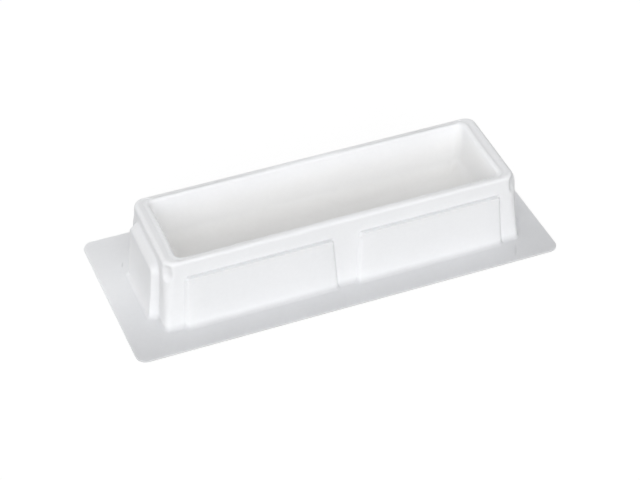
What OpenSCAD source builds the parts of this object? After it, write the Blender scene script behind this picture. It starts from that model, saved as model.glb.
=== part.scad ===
// Reagent reservoir for multichannel pipettes: one thin thermoformed sheet.
// A long trough hangs from the rim of a drafted skirt, and the skirt ends in a flat flange.
// The underside is open, because the whole part is a single sheet of even thickness.
// Origin: middle of the flange, on its underside. +X runs along the trough, +Z is up.

/* [Sheet and flange] */
// Thickness of the formed sheet
sheet = 0.6; // [0.4:0.1:0.8]
// Width of the flange, from the foot of each wall to the edge
brim = 11.4; // [5:0.1:25]
// Radius of the flange's corners
flange_corner_r = 3.5; // [1:0.5:8]

/* [Skirt] */
// Length over the rim
rim_l = 123.6; // [90:0.2:180]
// Width over the rim
rim_w = 36; // [28:0.5:80]
// Height from the table to the rim
height = 26.6; // [22:0.2:50]
// Slope of the long walls, in degrees from upright
side_draft = 5; // [2:0.5:6]
// Slope of the end walls, in degrees from upright
end_draft = 4; // [2:0.5:6]
// Radius of the upright corners at the rim
rim_corner_r = 3.8; // [2.5:0.1:6]
// Radius of the upright corners at the flange
foot_corner_r = 1.8; // [1:0.1:5]
// Radius of the rim's outer edge
rim_edge_r = 1.3; // [1:0.1:1.5]
// Radius where the walls run into the flange
foot_r = 1; // [0.6:0.1:2]
// How far the skirt's middle lies from the flange's middle, along the trough
shift_x = 1.4; // [-2:0.1:2]
// How far the skirt's middle lies from the flange's middle, across the trough
shift_y = -1; // [-2:0.1:2]
// How much further along the trough the back of the skirt stands than its front
skew = 0.6; // [-1:0.1:1]

/* [Trough] */
// Width of the rim at the trough's ends
end_ledge = 4.8; // [4.4:0.1:8]
// Width of the rim along the trough's sides
side_ledge = 2.6; // [2.4:0.1:5]
// Depth of the trough's floor below the rim
trough_depth = 18.5; // [10:0.5:20]
// Slope of the trough's walls, in degrees from upright
trough_draft = 6; // [2:0.5:8]
// Radius of the mouth's edge
mouth_edge_r = 1.2; // [0.9:0.1:1.2]
// Radius of the trough's upright corners
trough_corner_r = 2.5; // [1:0.5:5]
// Radius between the floor and the long walls
floor_side_r = 5; // [1:0.5:7]
// Radius between the floor and the end walls
floor_end_r = 6; // [2:0.5:7]
// How far the middle of each end wall bows into the trough
end_bow = 0.3; // [0:0.1:2]

/* [Side panels] */
// Height of the plain band above the side panels
side_band = 6.3; // [5.5:0.1:10]
// How far a side panel stands out from its wall
panel_proud = 1.25; // [0.8:0.05:2]
// Width of the pillar between two panels, at their tops
pillar_w = 8.8; // [5:0.2:14]
// Width of each corner post, at the panels' tops
post_w = 6; // [4.5:0.1:9]
// How much wider a side panel is at its foot, at each end
panel_spread = 1.2; // [0:0.1:2]
// Radius of a side panel's top corners
panel_corner_r = 1.8; // [1:0.1:4]
// Radius of the edges round a side panel's face
panel_edge_r = 0.8; // [0.8:0.1:1.2]
// Slope of a side panel's narrow sides, in degrees from the direction it stands out in
panel_lean = 20; // [5:1:40]

/* [End panels] */
// Height of the plain band above the end panels
end_band = 2; // [1.6:0.1:6]
// Distance of an end panel from the skirt's upright corners
end_post_w = 5; // [4.5:0.1:9]
// How far an end panel stands out from its wall
end_panel_proud = 2.6; // [1:0.1:3]
// Slope of an end panel's shoulder, in degrees from upright
end_shoulder_lean = 40; // [30:1:60]
// Slope of an end panel's narrow sides, in degrees from the end's own direction
end_lean = 25; // [10:1:40]
// How much further out an end panel's foot reaches
end_flare = 0.5; // [0:0.1:2]
// Radius of an end panel's top corners
end_corner_r = 4.5; // [1:0.5:6]
// Softness of the edges round an end panel's face
end_edge_r = 0.8; // [0.8:0.1:1.5]

/* [Corner dimples] */
// Distance from the rim down to the middle of the dimples that keep nested trays from jamming
dimple_drop = 3.7; // [3.7:0.1:6]
// Radius of a dimple
dimple_r = 2.8; // [2:0.1:3.2]
// Height of a dimple's straight part
dimple_rise = 1.8; // [0.2:0.1:2]
// Depth of a dimple in the corner
dimple_depth = 0.6; // [0.4:0.1:1.4]

/* [Hidden] */
tray_colour = [0.93, 0.94, 0.95];
corner_steps = 6;         // segments in each quarter turn of a plan corner
bow_steps = 8;            // segments along a bowed end
edge_steps = 4;           // segments in each rounded edge
clear = 2;                // how far cutting solids run past the faces they open
least_r = 0.05;           // a rounded corner never gets sharper than this
flare_power = 3;          // how late an end panel's flare sets in
panel_root = 3;           // how far a panel's solid reaches in behind its wall
wall_h = height - sheet;
flange_l = rim_l + 2 * wall_h * tan(end_draft) + 2 * brim;
flange_w = rim_w + 2 * wall_h * tan(side_draft) + 2 * brim;
taper = 2 * trough_depth * tan(trough_draft);
trough_size = [rim_l - 2 * end_ledge - taper, rim_w - 2 * side_ledge - taper];
side_panel_w = rim_l / 2 - post_w - pillar_w / 2;
side_panel_x = pillar_w / 2 + side_panel_w / 2;
side_panel_top = wall_h - side_band;
end_panel_w = rim_w - 2 * end_post_w;
end_panel_top = wall_h - end_band;

// Length of a right triangle's other leg
function leg(long_side, short_side) = sqrt(max(0, long_side ^ 2 - short_side ^ 2));

// How far a wall lies outside its straight line at height z. Its foot has the radius foot and its
// top edge the radius edge. grow is 0 for one face of the sheet and its thickness for the other.
function outset(z, top, edge, foot, grow) =
    z < foot ? foot - leg(foot - grow, foot - z)
    : z > top - edge ? leg(edge + grow, z - top + edge) - edge
    : grow;

// Heights at which a wall from foot to top edge is cut, closest together where it curves
function levels(top, edge, foot, grow, run) = concat(
    [-run],
    [for (i = [0:edge_steps]) foot - (foot - grow) * cos(90 * i / edge_steps)],
    [for (i = [0:edge_steps]) top - edge + (edge + grow) * sin(90 * i / edge_steps)]
);

// How far a face that ends in a sloping shoulder lies inside its own line at height z. The slope
// would reach depth at height top, and its lower edge is softened by soft.
function shoulder(z, top, depth, lean, soft, grow) =
    let (x = (z - top) * tan(lean) + depth - grow * (1 / cos(lean) - 1))
    (x + sqrt(x ^ 2 + soft ^ 2)) / 2;

// Rounded rectangle as points. Its two ends bow inwards by bow.
function rounded(half_l, half_w, r, bow) = [
    for (side = [1, -1])
        each concat(
            [
                for (i = [0:bow_steps])
                    let (y = (2 * i / bow_steps - 1) * (half_w - r))
                    side * [half_l - bow * (1 - (y / (half_w - r)) ^ 2), y]
            ],
            [for (i = [1:corner_steps]) side * corner(half_l - r, half_w - r, r, 90 * i / corner_steps)],
            [for (i = [0:corner_steps - 1]) side * corner(r - half_l, half_w - r, r, 90 + 90 * i / corner_steps)]
        )
];

// Point on a circle round (x, y)
function corner(x, y, r, turn) = [x + r * cos(turn), y + r * sin(turn)];

// Outline of a drafted block at height z, measured from the plane its foot runs into.
// size is its length and width at the top. draft, edge: one value for its ends, one for its sides.
function block_outline(size, top, draft, corners, edge, foot, bow, grow, z) =
    let (
        ends = outset(z, top, edge[0], foot, grow),
        sides = outset(z, top, edge[1], foot, grow),
        r = corners[1] + (corners[0] - corners[1]) * z / top + max(ends, sides)
    )
    rounded(
        size[0] / 2 + (top - z) * tan(draft[0]) + ends,
        size[1] / 2 + (top - z) * tan(draft[1]) + sides,
        max(least_r, r),
        bow
    );

// Outline of a panel at one height. It reaches proud out of a wall that lies at wall, and half_w
// is half its width there. Its narrow sides have the slope lean and stand outside their own lines
// by sides, and edge is the radius of its upright edges.
function panel_outline(half_w, wall, proud, lean, edge, sides) =
    let (
        r = max(least_r, edge + sides),
        y = wall + proud - r,
        x = half_w + (sides - r) / cos(lean) - (y - wall) * tan(lean)
    )
    concat(
        [[half_w, wall - panel_root]],
        [for (i = [0:edge_steps]) corner(x, y, r, lean + (90 - lean) * i / edge_steps)],
        [for (i = [0:edge_steps]) corner(-x, y, r, 90 + (90 - lean) * i / edge_steps)],
        [[-half_w, wall - panel_root]]
    );

// Solid through outlines that all have the same number of points, each at its own height
module loft(outlines, heights) {
    n = len(outlines[0]);
    last = len(outlines) - 1;
    polyhedron(
        points = [for (k = [0:last], p = outlines[k]) [p[0], p[1], heights[k]]],
        faces = concat(
            [[for (i = [0:n - 1]) i]],
            [
                for (k = [0:last - 1], i = [0:n - 1])
                    let (next = (i + 1) % n)
                    each [
                        [k * n + next, k * n + i, (k + 1) * n + i],
                        [k * n + next, (k + 1) * n + i, (k + 1) * n + next]
                    ]
            ],
            [[for (i = [n - 1:-1:0]) last * n + i]]
        )
    );
}

// Drafted block with rounded edges, whose foot flares into the plane at height 0
module block(size, top, draft, corners, edge, foot, bow, grow, run) {
    heights = levels(top, max(edge), foot, grow, run);
    loft(
        [for (z = heights) block_outline(size, top, draft, corners, edge, foot, bow, grow, z)],
        heights
    );
}

// Raised panel on a wall that faces +Y. wall, half_w and proud are functions of the height z.
module panel(top, corner, lean, edge, grow, run, wall, half_w, proud) {
    heights = levels(top, corner, foot_r, grow, run);
    loft(
        [
            for (z = heights)
                panel_outline(
                    half_w(z), wall(z), proud(z), lean, edge, outset(z, top, corner, foot_r, grow)
                )
        ],
        heights
    );
}

// Two panels on each long wall
module side_panels(grow, run) {
    for (side = [0, 180], x = [-side_panel_x, side_panel_x])
        rotate([0, 0, side])
            translate([x, 0, 0])
                panel(
                    side_panel_top, panel_corner_r, panel_lean, panel_edge_r, grow, run,
                    function(z) rim_w / 2 + (wall_h - z) * tan(side_draft),
                    function(z) side_panel_w / 2 + panel_spread * (1 - z / side_panel_top),
                    function(z) panel_proud + outset(z, side_panel_top, panel_edge_r, foot_r, grow)
                );
}

// One panel on each end wall, under a sloping shoulder
module end_panels(grow, run) {
    for (side = [-90, 90])
        rotate([0, 0, side])
            panel(
                end_panel_top, end_corner_r, end_lean, end_edge_r, grow, run,
                function(z) rim_l / 2 + (wall_h - z) * tan(end_draft),
                function(z) end_panel_w / 2,
                function(z)
                    end_panel_proud + end_flare * (1 - z / end_panel_top) ^ flare_power
                        + outset(z, wall_h, least_r, foot_r, grow)
                        - shoulder(z, end_panel_top, end_panel_proud, end_shoulder_lean, end_edge_r, grow)
            );
}

// Upright round-ended rods that press the dimples into the corners
module dimples(grow) {
    reach = dimple_r - dimple_depth;
    for (x = [-1, 1], y = [-1, 1])
        translate([
            x * (rim_l / 2 - rim_corner_r + (rim_corner_r + reach) * cos(45)),
            y * (rim_w / 2 - rim_corner_r + (rim_corner_r + reach) * sin(45)),
            wall_h - dimple_drop
        ])
            hull()
                for (z = [-0.5, 0.5])
                    translate([0, 0, z * dimple_rise])
                        sphere(r = dimple_r + grow, $fn = 20);
}

// The raised form: skirt and panels. grow 0 gives the sheet's outer face, -sheet its inner one.
module raised(grow, run) {
    block(
        [rim_l, rim_w], wall_h, [end_draft, side_draft], [rim_corner_r, foot_corner_r],
        [rim_edge_r, rim_edge_r], foot_r, 0, grow, run
    );
    side_panels(grow, run);
    end_panels(grow, run);
}

// The trough's hollow, cut down from the rim. grow sheet gives the hollow with its sheet.
module hollow(grow) {
    translate([0, 0, wall_h])
        mirror([0, 0, 1])
            block(
                trough_size, trough_depth, [trough_draft, trough_draft],
                [trough_corner_r, trough_corner_r], [floor_end_r, floor_side_r],
                mouth_edge_r, end_bow, grow, clear
            );
}

// One face of the formed sheet as a solid, out of square by the skew
module formed(grow, run) {
    multmatrix([[1, skew / rim_w, 0, 0], [0, 1, 0, 0], [0, 0, 1, 0]])
        difference() {
            raised(grow == 0 ? 0 : -sheet, run);
            hollow(grow);
            dimples(grow);
        }
}

// Flat flange. The skirt's middle lies off its middle by the two shifts.
module flange() {
    translate([-shift_x, -shift_y, -sheet])
        linear_extrude(sheet)
            offset(r = flange_corner_r, $fn = 24)
                square([flange_l - 2 * flange_corner_r, flange_w - 2 * flange_corner_r], center = true);
}

module tray() {
    color(tray_colour)
        translate([shift_x, shift_y, sheet])
            difference() {
                union() {
                    flange();
                    formed(0, sheet);
                }
                formed(sheet, sheet + clear);
            }
}

tray();
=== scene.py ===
"""Reagent reservoir for multichannel pipettes, thermoformed in one thin white sheet.

The sheet is drawn ring by ring along its section, from the cut edge of the flange over the rim
and down to the trough's floor, and then gets its thickness. Lengths are in millimetres up to the
last step, which brings them to metres.
"""

import math

import bmesh
import bpy
from mathutils import Matrix, Vector


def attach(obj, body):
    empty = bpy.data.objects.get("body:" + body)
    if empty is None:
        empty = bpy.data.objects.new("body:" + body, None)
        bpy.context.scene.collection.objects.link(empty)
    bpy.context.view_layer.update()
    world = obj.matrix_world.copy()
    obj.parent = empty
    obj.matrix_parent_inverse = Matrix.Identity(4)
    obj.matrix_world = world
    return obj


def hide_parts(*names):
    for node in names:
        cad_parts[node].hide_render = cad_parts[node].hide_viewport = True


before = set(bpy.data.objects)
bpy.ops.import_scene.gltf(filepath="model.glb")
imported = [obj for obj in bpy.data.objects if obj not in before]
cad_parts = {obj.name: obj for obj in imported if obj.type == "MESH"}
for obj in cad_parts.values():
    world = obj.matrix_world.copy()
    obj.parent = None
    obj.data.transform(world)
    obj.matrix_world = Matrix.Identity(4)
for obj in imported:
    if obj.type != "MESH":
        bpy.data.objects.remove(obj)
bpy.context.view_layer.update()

MM = 0.001

# Sheet and flange
SHEET = 0.6
BRIM = 11.4
FLANGE_R = 3.5
CUT_R = 0.14
SMALLEST_R = 0.4
CORNER_STEPS = 18

# Skirt. Heights run up from the flange's upper face, whose middle is off the skirt's by the shift.
SHIFT_X = 1.4
SHIFT_Y = -1.0
SKEW = 0.6
RIM_L = 123.6
RIM_W = 36.0
WALL_H = 26.0
SIDE_DRAFT = math.radians(5)
END_DRAFT = math.radians(4)
RIM_CORNER_R = 3.8
FOOT_CORNER_R = 1.8
RIM_R = 1.3
FOOT_R = 1.0
FLANGE_L = RIM_L + 2 * WALL_H * math.tan(END_DRAFT) + 2 * BRIM
FLANGE_W = RIM_W + 2 * WALL_H * math.tan(SIDE_DRAFT) + 2 * BRIM

# Trough
MOUTH_L = 114.0
MOUTH_W = 30.8
DEPTH = 18.5
TROUGH_DRAFT = math.radians(6)
MOUTH_R = 1.2
TROUGH_CORNER_R = 2.5
FLOOR_SIDE_R = 5.0
FLOOR_END_R = 6.0
END_BOW = 0.3
LEDGE_SINK = 0.07

# Raised panels: height of the top, reach out of the wall, and how steep and how soft the flank is
# at the narrow sides and at the top. The last softness is the crease's where the wall begins.
SIDE_TOP = 19.7
SIDE_PROUD = 1.25
SIDE_INNER = 4.4
SIDE_OUTER = 55.8
SIDE_SPREAD = 1.2
SIDE_CORNER_R = 1.8
SIDE_SLOPES = (1.7, 12.0)
SIDE_SOFTNESS = (1.3, 0.02, 0.03)
END_TOP = 22.6
END_PROUD = 2.6
END_HALF_W = 13.0
END_FLARE = 0.5
END_CORNER_R = 4.5
END_SLOPES = (2.14, 1.1)
END_SOFTNESS = (0.9, 0.9, 0.4)

# Dimples in the upright corners
DIMPLE_Z = 22.3
DIMPLE_R = 2.8
DIMPLE_RISE = 1.8
DIMPLE_DEPTH = 0.38
DIMPLE_SOFTNESS = 1.0

# Heights between which the rings lie close together
PANELS_FROM = 17.6
STEP_FROM = SIDE_TOP - 0.3
STEP_TO = SIDE_TOP + 0.02
RIM_FROM = WALL_H - RIM_R

# Colour of the plastic, a lighter copy of it that paints light into the trough, and a greyer,
# warmer copy that paints shade on the trough's floor
SKIRT_WHITE = (0.87, 0.878, 0.895, 1)
TROUGH_WHITE_PAINTED_LIGHT = (0.98, 0.978, 0.972, 1)
TROUGH_FLOOR_PAINTED_SHADE = (0.895, 0.89, 0.88, 1)

LAMP_FAR = 1.2

# Camera: compass direction (0 is the front), height above the horizon, and its stand in millimetres
EYE_AZIMUTH = math.radians(-22.13)
EYE_ELEVATION = math.radians(40.20)
EYE_FAR = 661.83
EYE_RIGHT = -0.0612
EYE_UP = 2.079
EYE_LENS = 109.406


def soft_min(a, b, blend):
    """The smaller of two numbers, rounded over where they are within blend of each other."""
    near = max(blend - abs(a - b), 0) / blend
    return min(a, b) - near * near * blend / 4


def soft_max(a, b, blend):
    return -soft_min(-a, -b, blend)


def steps(start, end, count):
    """count numbers from start towards end, which is left to the next run."""
    return [start + (end - start) * i / count for i in range(count)]


# ---------------------------------------------------------------- outline of each ring


class Outline:
    """Rounded rectangle about (x, y), whose ends bow inwards in their middle."""

    def __init__(self, half_l, half_w, r, x=0.0, y=0.0, bow=0.0):
        self.half_l, self.half_w, self.r = half_l, half_w, r
        self.x, self.y, self.bow = x, y, bow

    def straight(self, side):
        """Half the straight length of a side. Sides 0 and 2 are the ends."""
        return (self.half_w if side in (0, 2) else self.half_l) - self.r

    def on_side(self, side, along, out=0.0):
        """Point on a side, along it from its middle, and out of it."""
        if side in (0, 2):
            sag = self.bow * (1 - (along / self.straight(side)) ** 2)
            x, y = self.half_l - sag + out, along
        else:
            x, y = -along, self.half_w + out
        return (self.x + x, self.y + y) if side < 2 else (self.x - x, self.y - y)

    def on_corner(self, corner, turn):
        """Point on the corner that follows the side of the same number."""
        a = math.radians(90 * corner + turn)
        cx = (self.half_l - self.r) * (1 if corner in (0, 3) else -1)
        cy = (self.half_w - self.r) * (1 if corner in (0, 1) else -1)
        return self.x + cx + self.r * math.cos(a), self.y + cy + self.r * math.sin(a)


def wall_outline(z, out=0.0):
    return Outline(
        RIM_L / 2 + (WALL_H - z) * math.tan(END_DRAFT) + out,
        RIM_W / 2 + (WALL_H - z) * math.tan(SIDE_DRAFT) + out,
        FOOT_CORNER_R + (RIM_CORNER_R - FOOT_CORNER_R) * z / WALL_H + out,
    )


def trough_outline(drop, ends=0.0, sides=0.0):
    inwards = drop * math.tan(TROUGH_DRAFT)
    return Outline(
        MOUTH_L / 2 - inwards + ends,
        MOUTH_W / 2 - inwards + sides,
        max(SMALLEST_R, TROUGH_CORNER_R + max(ends, sides)),
        bow=END_BOW,
    )


# ---------------------------------------------------------------- raised panels and dimples


def side_edges(z, flare):
    """Where a side panel's two narrow sides meet the wall, from the wall's middle."""
    grow = SIDE_SPREAD * (1 - z / SIDE_TOP) + flare
    return SIDE_INNER - grow, SIDE_OUTER + grow


def raised_by(inside, corner_r, slopes, face, softness):
    """How far a panel stands out of its wall.

    inside is the distance from its narrow side and from its top. slopes holds one value for the
    narrow side and one for the top, softness the same two and one for the crease at the wall.
    """
    p, q = (max(0.0, 1 - i / corner_r) for i in inside)
    if p > 0 and q > 0:
        reach = math.hypot(p, q)
        share = (q / reach) ** 2
        flank = (1 - reach) * corner_r * (slopes[0] * (1 - share) + slopes[1] * share)
    else:
        share = 1.0 if inside[1] * slopes[1] < inside[0] * slopes[0] else 0.0
        flank = min(inside[0] * slopes[0], inside[1] * slopes[1])
    blend = softness[0] * (1 - share) + softness[1] * share
    return soft_max(0.0, soft_min(flank, face, blend), softness[2])


def side_panel(along, z, flare):
    """How far the sheet stands out of a long wall."""
    inner, outer = side_edges(z, flare)
    x = abs(along)
    inside = min(x - inner, outer - x), SIDE_TOP - z
    return raised_by(inside, SIDE_CORNER_R, SIDE_SLOPES, SIDE_PROUD, SIDE_SOFTNESS)


def end_panel(along, z, flare):
    """How far the sheet stands out of an end wall."""
    face = END_PROUD + END_FLARE * (1 - min(z / END_TOP, 1)) ** 3
    inside = END_HALF_W + flare - abs(along), END_TOP - z
    return raised_by(inside, END_CORNER_R, END_SLOPES, face, END_SOFTNESS)


def dimpled(x, y, z):
    """A point on an upright corner, pressed in where the dimple lies."""
    out = (RIM_CORNER_R + DIMPLE_R - DIMPLE_DEPTH) * math.sqrt(0.5)
    dx = abs(x) - (RIM_L / 2 - RIM_CORNER_R + out)
    dy = abs(y) - (RIM_W / 2 - RIM_CORNER_R + out)
    outwards, across = (dx + dy) * math.sqrt(0.5), (dx - dy) * math.sqrt(0.5)
    past = max(0.0, abs(z - DIMPLE_Z) - DIMPLE_RISE / 2)
    room = DIMPLE_R**2 - past**2 - across**2
    if room <= 0:
        return x, y
    press = soft_max(0.0, outwards + math.sqrt(room), DIMPLE_SOFTNESS) * math.sqrt(0.5)
    return x - math.copysign(press, x), y - math.copysign(press, y)


# ---------------------------------------------------------------- columns round the sheet


def side_columns(z, flare):
    """Places along a long wall, from its middle to its right end, close together at the panels."""
    inner, outer = side_edges(z, flare)
    end = wall_outline(z).straight(1)
    return (
        steps(0, inner - 0.4, 4)
        + steps(inner - 0.4, inner + 1.3, 14)
        + steps(inner + 1.3, outer - 1.3, 10)
        + steps(outer - 1.3, outer + 0.4, 14)
        + steps(outer + 0.4, end, 5)
        + [end]
    )


def end_columns(z, flare):
    """Places along an end wall, from its middle outwards."""
    edge = END_HALF_W + flare
    end = wall_outline(z).straight(0)
    return (
        steps(0, edge - 5.0, 8)
        + steps(edge - 5.0, edge - 2.0, 8)
        + steps(edge - 2.0, edge + 0.4, 14)
        + steps(edge + 0.4, end, 4)
        + [end]
    )


def both_ways(half):
    """The places on one half of a wall, with their mirror images before them."""
    return [-v for v in reversed(half[1:])] + half


def ring(outline, z, flare=0.0, panels=False, dimples=False, skewed=True):
    """One closed ring of points round the sheet, at height z."""
    points = []
    for side in range(4):
        half = side_columns(z, flare) if side in (1, 3) else end_columns(z, flare)
        scale = outline.straight(side) / half[-1]
        for along in both_ways(half):
            out = 0.0
            if panels:
                out = (side_panel if side in (1, 3) else end_panel)(along, z, flare)
            points.append(outline.on_side(side, along * scale, out))
        points += [outline.on_corner(side, turn) for turn in steps(0, 90, CORNER_STEPS)[1:]]
    if dimples:
        points = [dimpled(x, y, z) for x, y in points]
    lean = SKEW / RIM_W if skewed else 0.0
    return [Vector((x + lean * y, y, z)) for x, y in points]


def between(first, last, count):
    """Rings that lead from one ring to another, both left out."""
    return [[a.lerp(b, i / count) for a, b in zip(first, last)] for i in range(1, count)]


def quarter_turn(count):
    """Angles from the first step after 0 up to a right angle."""
    return [math.radians(turn) for turn in steps(0, 90, count)[1:] + [90]]


def pulled_in(r, drop):
    """How far the trough's wall has curved in towards the floor, as a negative number."""
    fallen = max(0.0, drop - DEPTH + r)
    return math.sqrt(max(0.0, r * r - fallen * fallen)) - r


def dished(brow, mouth, count):
    """Rings across the rim's ledge, which sinks a little where it is broad."""
    rings = between(brow, mouth, count)
    for i, points in enumerate(rings, 1):
        sunk = LEDGE_SINK * math.sin(math.pi * (i / count) ** 1.8)
        for point, a, b in zip(points, brow, mouth):
            point.z -= sunk * (a - b).length
    return rings


def section():
    """Every ring of the sheet's upper face, from the cut edge to the middle of the floor."""
    rings = []
    for inset in (0.0, 0.4):
        edge = Outline(
            FLANGE_L / 2 - inset, FLANGE_W / 2 - inset, FLANGE_R - inset, x=-SHIFT_X, y=-SHIFT_Y
        )
        rings.append(ring(edge, 0.0, skewed=False))
    foot = ring(wall_outline(0.0, FOOT_R), 0.0, FOOT_R, panels=True)
    rings += between(rings[-1], foot, 5) + [foot]

    for a in quarter_turn(6):
        z, flare = FOOT_R * (1 - math.cos(a)), FOOT_R * (1 - math.sin(a))
        rings.append(ring(wall_outline(z, flare), z, flare, panels=True))

    heights = (
        steps(FOOT_R, PANELS_FROM, 7)[1:]
        + steps(PANELS_FROM, STEP_FROM, 9)
        + steps(STEP_FROM, STEP_TO, 20)
        + steps(STEP_TO, RIM_FROM, 17)
        + [RIM_FROM]
    )
    for z in heights:
        rings.append(ring(wall_outline(z), z, panels=True, dimples=True))

    for a in quarter_turn(8):
        z, out = WALL_H - RIM_R * (1 - math.sin(a)), RIM_R * (math.cos(a) - 1)
        rings.append(ring(wall_outline(z, out), z, dimples=True))

    brow = rings[-1]
    mouth = ring(trough_outline(0.0, MOUTH_R, MOUTH_R), WALL_H)
    rings += dished(brow, mouth, 10) + [mouth]

    for a in quarter_turn(8):
        drop, out = MOUTH_R * (1 - math.cos(a)), MOUTH_R * (1 - math.sin(a))
        rings.append(ring(trough_outline(drop, out, out), WALL_H - drop))

    bend = DEPTH - FLOOR_END_R
    drops = steps(MOUTH_R, bend, 4)[1:] + [bend]
    for drop in drops + [bend + FLOOR_END_R * math.sin(a) for a in quarter_turn(16)]:
        shape = trough_outline(drop, pulled_in(FLOOR_END_R, drop), pulled_in(FLOOR_SIDE_R, drop))
        rings.append(ring(shape, WALL_H - drop))

    rim_of_floor = rings[-1]
    reach = shape.half_l - shape.half_w
    straight = [p.x - SKEW / RIM_W * p.y for p in rim_of_floor]
    middle = [Vector((max(-reach, min(reach, x)), 0, WALL_H - DEPTH)) for x in straight]
    rings += between(rim_of_floor, middle, 3) + [middle]
    return rings


def in_order(loop):
    """A closed loop's points, each next to the one before."""
    order, edge = [loop[0]], loop[0].link_edges[0]
    while len(order) < len(loop):
        point = edge.other_vert(order[-1])
        order.append(point)
        edge = next(e for e in point.link_edges if e is not edge)
    return order


def formed_sheet():
    """The sheet's upper face, extruded ring by ring."""
    bm = bmesh.new()
    rings = section()
    circle = bmesh.ops.create_circle(bm, segments=len(rings[0]), radius=1.0)["verts"]
    row, edges = in_order(circle), bm.edges[:]
    for point, place in zip(row, rings[0]):
        point.co = place
    for places in rings[1:]:
        grown = bmesh.ops.extrude_edge_only(bm, edges=edges)["geom"]
        edges = [g for g in grown if isinstance(g, bmesh.types.BMEdge)]
        fresh = {g for g in grown if isinstance(g, bmesh.types.BMVert)}
        row = [next(e.other_vert(v) for e in v.link_edges if e.other_vert(v) in fresh) for v in row]
        for point, place in zip(row, places):
            point.co = place
    bmesh.ops.remove_doubles(bm, verts=bm.verts, dist=1e-4)
    bmesh.ops.recalc_face_normals(bm, faces=bm.faces)
    lowest = min(bm.faces, key=lambda f: f.calc_center_median().z)
    if lowest.normal.z < 0:
        bmesh.ops.reverse_faces(bm, faces=bm.faces)
    return bm


def thickened(bm):
    """Give the sheet its thickness and take the sharpness off the flange's cut edge."""
    bm.normal_update()
    lower = bmesh.ops.extrude_face_region(bm, geom=bm.faces[:], use_keep_orig=True)["geom"]
    moves = {g: g.normal * SHEET for g in lower if isinstance(g, bmesh.types.BMVert)}
    for point, move in moves.items():
        point.co -= move
    bmesh.ops.recalc_face_normals(bm, faces=bm.faces)
    cut = [
        e
        for e in bm.edges
        if e.calc_face_angle() > math.radians(60) and all(v.co.z < 0.1 for v in e.verts)
    ]
    bmesh.ops.bevel(
        bm, geom=cut, offset=CUT_R, affect="EDGES", segments=2, profile=0.5, material=-1
    )
    for face in bm.faces:
        face.smooth = True
    for edge in bm.edges:
        edge.smooth = edge.calc_face_angle() < math.radians(40)


bm = formed_sheet()
thickened(bm)
into_frame = Matrix.Scale(MM, 4) @ Matrix.Translation((SHIFT_X, SHIFT_Y, SHEET))
bmesh.ops.transform(bm, matrix=into_frame, verts=bm.verts)
mesh = bpy.data.meshes.new("tray_sheet")
bm.to_mesh(mesh)
bm.free()
sheet = bpy.data.objects.new("tray_sheet", mesh)
bpy.context.scene.collection.objects.link(sheet)

# ---------------------------------------------------------------- plastic


def add(tree, kind, links=(), **settings):
    """A node, its settings, and the sockets that feed its inputs."""
    node = tree.nodes.new("ShaderNode" + kind)
    for name, value in settings.items():
        setattr(node, name, value)
    for name, source in dict(links).items():
        if isinstance(source, bpy.types.NodeSocket):
            tree.links.new(source, node.inputs[name])
        else:
            node.inputs[name].default_value = source
    return node


def maths(tree, operation, *values):
    """The result of a Math node."""
    return add(tree, "Math", dict(enumerate(values)), operation=operation).outputs[0]


def noise(tree, place, size, detail):
    """Noise whose patches are about size metres wide."""
    links = {"Vector": place, "Scale": 1 / size, "Detail": detail, "Roughness": 0.55}
    return add(tree, "TexNoise", links).outputs["Fac"]


def spread(tree, value, low, high, to_low, to_high):
    """Map a range of values softly onto another one."""
    links = {0: value, 1: low, 2: high, 3: to_low, 4: to_high}
    return add(tree, "MapRange", links, interpolation_type="SMOOTHSTEP").outputs[0]


def within(tree, value, low, high, soft):
    """1 from low to high, fading to 0 over the soft distance outside them."""
    rise = spread(tree, value, low - soft, low, 0.0, 1.0)
    return maths(tree, "MULTIPLY", rise, spread(tree, value, high, high + soft, 1.0, 0.0))


def away_from(tree, value, middle):
    return maths(tree, "ABSOLUTE", maths(tree, "SUBTRACT", value, middle))


def mark_group():
    """A short straight mark in the sheet: 1 on it and 0 away from it."""
    group = bpy.data.node_groups.new("short_mark", "ShaderNodeTree")
    face = group.interface
    face.new_socket("Place", in_out="INPUT", socket_type="NodeSocketVector")
    face.new_socket("Middle", in_out="INPUT", socket_type="NodeSocketVector")
    face.new_socket("Turn", in_out="INPUT", socket_type="NodeSocketFloat")
    face.new_socket("Size", in_out="INPUT", socket_type="NodeSocketVector")
    face.new_socket("Mark", in_out="OUTPUT", socket_type="NodeSocketFloat")
    inside = group.nodes.new("NodeGroupInput").outputs
    off = add(group, "VectorMath", {0: inside["Place"], 1: inside["Middle"]}, operation="SUBTRACT")
    turned = add(
        group, "VectorRotate", {"Vector": off.outputs[0], "Angle": inside["Turn"]},
        rotation_type="Z_AXIS",
    )
    scaled = add(
        group, "VectorMath", {0: turned.outputs[0], 1: inside["Size"]}, operation="DIVIDE"
    )
    reach = add(group, "VectorMath", {0: scaled.outputs[0]}, operation="LENGTH").outputs["Value"]
    result = group.nodes.new("NodeGroupOutput")
    group.links.new(spread(group, reach, 0.35, 1.0, 1.0, 0.0), result.inputs["Mark"])
    return group


SHORT_MARK = mark_group()


def mark(tree, place, middle, turn, size):
    links = {"Place": place, "Middle": middle, "Turn": math.radians(turn), "Size": size}
    return add(tree, "Group", links, node_tree=SHORT_MARK).outputs["Mark"]


plastic = bpy.data.materials.new("white_polystyrene")
plastic.use_nodes = True
tree = plastic.node_tree
shader = tree.nodes["Principled BSDF"]
place = add(tree, "TexCoord").outputs["Object"]
axes = add(tree, "SeparateXYZ", {0: place}).outputs

across = away_from(tree, axes["Y"], SHIFT_Y * MM)
along = away_from(tree, axes["X"], SHIFT_X * MM)
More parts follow.
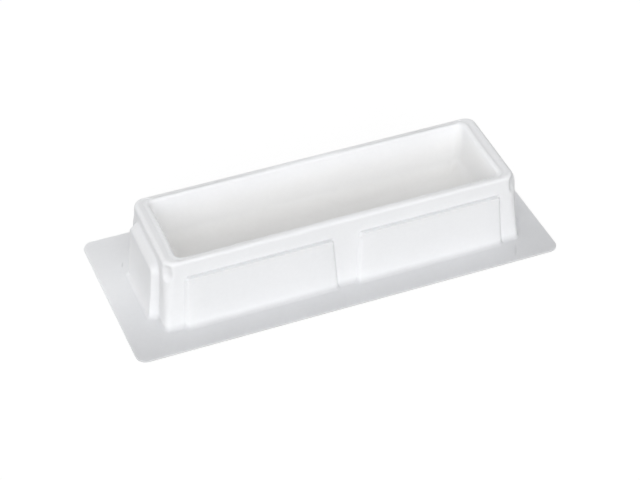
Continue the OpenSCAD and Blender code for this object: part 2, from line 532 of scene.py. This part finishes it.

# Painted light makes the trough lighter than the skirt, and painted shade makes it greyer and
# warmer towards its floor
in_trough = maths(
    tree, "MULTIPLY",
    spread(tree, across, 0.0135, 0.0155, 1.0, 0.0),
    spread(tree, along, 0.0545, 0.0575, 1.0, 0.0),
)
trough_floor_painted_shade = maths(tree, "MULTIPLY", in_trough, spread(tree, axes["Z"], 0.0085, 0.016, 1.0, 0.0))
clouds = spread(tree, noise(tree, place, 0.03, 3.0), 0.3, 0.7, -1.0, 1.0)
specks = spread(tree, noise(tree, place, 0.0012, 2.0), 0.3, 0.7, -1.0, 1.0)
shade = maths(
    tree, "ADD", maths(tree, "MULTIPLY", clouds, 0.012), maths(tree, "MULTIPLY", specks, 0.006)
)
base = add(
    tree, "Mix",
    {0: in_trough, 6: SKIRT_WHITE, 7: TROUGH_WHITE_PAINTED_LIGHT},
    data_type="RGBA",
)
colour = add(tree, "Mix", {0: trough_floor_painted_shade, 6: base.outputs[2], 7: TROUGH_FLOOR_PAINTED_SHADE}, data_type="RGBA")

# Painted shade: the flange is darker towards its front
painted_flange_shade = maths(
    tree, "MULTIPLY",
    spread(tree, axes["Z"], 0.0008, 0.003, 1.0, 0.0),
    spread(tree, axes["Y"], -0.03, 0.012, 0.195, 0.0),
)

# Shade gathers in the crease along the top of each side panel
panel_top = (SHEET + SIDE_TOP) * MM
crease = maths(
    tree, "MULTIPLY",
    within(tree, axes["Z"], panel_top - 0.0001, panel_top + 0.00015, 0.0003),
    within(tree, along, (SIDE_INNER + 0.9) * MM, (SIDE_OUTER - 0.9) * MM, 0.0007),
)
crease = maths(tree, "MULTIPLY", crease, within(tree, across, 0.017, 0.022, 0.001))

# A nick in the flange's left end and a faint fold in its right end
nick = mark(tree, place, (-0.0653, 0.016, 0.0006), 22, (0.00035, 0.0017, 0.002))
fold = mark(tree, place, (0.0605, -0.027, 0.0006), 26.6, (0.0006, 0.004, 0.002))
marks = maths(tree, "MAXIMUM", nick, maths(tree, "MULTIPLY", fold, 0.4))
darker = maths(tree, "ADD", painted_flange_shade, maths(tree, "MULTIPLY", marks, 0.12))
darker = maths(tree, "ADD", darker, maths(tree, "MULTIPLY", crease, 0.1))
bright = maths(tree, "SUBTRACT", maths(tree, "ADD", shade, 1.0), darker)
tinted = add(
    tree, "VectorMath", {0: colour.outputs[2], "Scale": bright}, operation="SCALE"
)
tree.links.new(tinted.outputs[0], shader.inputs["Base Color"])

# Satin gloss, a little uneven
gloss = spread(tree, noise(tree, place, 0.009, 4.0), 0.25, 0.75, 0.48, 0.6)
tree.links.new(gloss, shader.inputs["Roughness"])

# Soft waves of the formed sheet, and the fine grain of its skin
waves = add(
    tree, "Bump", {"Height": noise(tree, place, 0.014, 1.0), "Strength": 1.0, "Distance": 0.00016}
)
grain = add(
    tree, "Bump",
    {
        "Height": noise(tree, place, 0.0005, 2.0), "Strength": 1.0, "Distance": 0.000008,
        "Normal": waves.outputs[0],
    },
)
pressed = add(
    tree, "Bump",
    {"Height": marks, "Strength": 1.0, "Distance": 0.00012, "Normal": grain.outputs[0]},
)
tree.links.new(pressed.outputs[0], shader.inputs["Normal"])
shader.inputs["Subsurface Weight"].default_value = 1.0
shader.inputs["Subsurface Radius"].default_value = (1.0, 1.0, 1.0)
shader.inputs["Subsurface Scale"].default_value = 0.0005
sheet.data.materials.append(plastic)

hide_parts("tray")
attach(sheet, "root")

# ---------------------------------------------------------------- stage

bpy.ops.mesh.primitive_plane_add(size=4, location=(0, 0, -0.0001))
floor = bpy.context.object
floor.name = "floor"
white = bpy.data.materials.new("white_floor")
white.use_nodes = True
tree = white.node_tree
matt = tree.nodes["Principled BSDF"]
matt.inputs["Roughness"].default_value = 0.9
seen = add(tree, "LightPath").outputs["Is Camera Ray"]
# Pale to the eye, and a shade greyer in the light it throws back on the tray
tone = spread(tree, seen, 0.0, 1.0, 0.4, 0.9)
tree.links.new(tone, matt.inputs["Base Color"])
glow = add(tree, "Emission", {"Color": (1, 1, 1, 1), "Strength": 1.06})
swap = add(
    tree, "MixShader",
    {0: maths(tree, "MULTIPLY", seen, 0.85), 1: matt.outputs[0], 2: glow.outputs[0]},
)
tree.links.new(swap.outputs[0], tree.nodes["Material Output"].inputs["Surface"])
floor.data.materials.append(white)

scene = bpy.context.scene
world = bpy.data.worlds.new("studio")
scene.world = world
world.use_nodes = True
tree = world.node_tree
soft = tree.nodes["Background"]
soft.inputs["Color"].default_value = (1, 1, 1, 1)
soft.inputs["Strength"].default_value = 0.44
backdrop = add(tree, "Background", {"Color": (1, 1, 1, 1), "Strength": 1.0})
seen = add(tree, "LightPath").outputs["Is Camera Ray"]
swap = add(tree, "MixShader", {0: seen, 1: soft.outputs[0], 2: backdrop.outputs[0]})
tree.links.new(swap.outputs[0], tree.nodes["World Output"].inputs["Surface"])


def towards(azimuth, elevation):
    """The direction of a compass angle, 0 being the front, and a height above the horizon."""
    level = math.cos(elevation)
    return Vector((math.sin(azimuth) * level, -math.cos(azimuth) * level, math.sin(elevation)))


def soft_box(name, azimuth, elevation, width, height, radiance):
    """Rectangular lamp that looks at the tray. Its place is in degrees, and its size in metres."""
    lamp = bpy.data.lights.new(name, "AREA")
    lamp.shape = "RECTANGLE"
    lamp.size, lamp.size_y = width, height
    lamp.energy = radiance * math.pi * width * height
    away = towards(math.radians(azimuth), math.radians(elevation))
    box = bpy.data.objects.new(name, lamp)
    scene.collection.objects.link(box)
    box.location = away * LAMP_FAR
    box.rotation_euler = away.to_track_quat("Z", "Y").to_euler()


soft_box("front_box", -14, 25, 1.5, 0.8, 2.6)
soft_box("upper_box", 0, 58, 1.6, 0.8, 0.46)
soft_box("left_box", -95, 18, 1.3, 0.7, 0.5)
soft_box("back_box", -172, 14, 2.4, 0.6, 1.75)

back = towards(EYE_AZIMUTH, EYE_ELEVATION)
right = (-back).cross(Vector((0, 0, 1))).normalized()
up = right.cross(-back)
camera = bpy.data.cameras.new("camera")
camera.lens = EYE_LENS
camera.sensor_width = 36
eye = bpy.data.objects.new("camera", camera)
scene.collection.objects.link(eye)
stand = Matrix((right, up, back)).transposed().to_4x4()
place_mm = back * EYE_FAR + right * EYE_RIGHT + up * EYE_UP + Vector((0, 0, SHEET))
stand.translation = place_mm * MM
eye.matrix_world = stand
scene.camera = eye

scene.view_settings.view_transform = "Standard"
